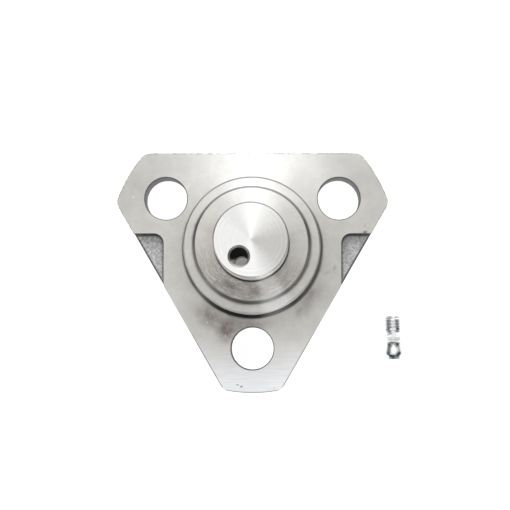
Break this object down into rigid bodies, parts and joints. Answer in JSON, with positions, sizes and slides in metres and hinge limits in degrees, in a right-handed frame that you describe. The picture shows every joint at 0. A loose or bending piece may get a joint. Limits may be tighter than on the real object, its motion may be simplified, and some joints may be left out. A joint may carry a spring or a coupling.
{
  "type": "axle pivot pin",
  "caption": "Flanged steel pivot pin with a register boss, shoulder, journal and drilled grease passage, and a loose grease nipple with its check valve.",
  "frame": {"origin": "on the pin's axis, at the centre of the bolt circle, in the machined face of the flange", "axes": "+Z along the pin's axis, from the flange towards the pin's end; +X to the right and +Y up in a view onto the pin's end with the lone bolt hole at the bottom"},
  "size_m": [0.0958, 0.0792, 0.0548],
  "materials": {
    "turned_steel": "turned",
    "zinc_steel": "bright zinc plate",
    "ball_steel": "polished",
    "spring_steel": "drawn wire"
  },
  "bodies": {
    "pin": {"pivot_pin": "turned_steel", "nipple_body": "zinc_steel", "nipple_spring": "spring_steel"},
    "check_ball": {"nipple_ball": "ball_steel"}
  },
  "joints": [
    {"name": "check_ball_slide", "type": "slide", "parent": "pin", "child": "check_ball", "axis": [-0.0297, 0.9996, 0], "range_m": [0, 0.0008], "stiffness_N_per_m": 600, "springref_m": -0.001, "deforming": ["nipple_spring"]}
  ]
}
